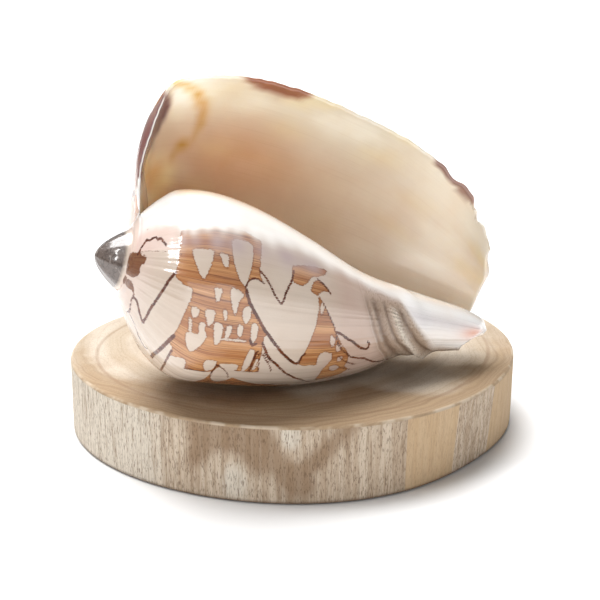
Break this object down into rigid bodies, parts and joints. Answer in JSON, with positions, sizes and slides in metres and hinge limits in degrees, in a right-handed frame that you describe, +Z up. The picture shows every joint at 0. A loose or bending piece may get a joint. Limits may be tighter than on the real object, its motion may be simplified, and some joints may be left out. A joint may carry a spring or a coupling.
{
  "type": "noble volute shell on a wood slice",
  "caption": "Large sea snail shell with a flared lip and tent markings, lying mouth up on a round slice of wood.",
  "frame": {"origin": "middle of the wood slice's underside", "axes": "+Z up; +X towards the shell's siphon end; +Y away from the viewer who looks into the mouth"},
  "size_m": [0.1636, 0.1577, 0.1313],
  "materials": {
    "shell": "glossy natural shell with brown tents on cream",
    "wood": "raw end grain, sawn and dry"
  },
  "bodies": {
    "root": {"volute_shell": "shell", "wood_slice": "wood"}
  },
  "joints": []
}
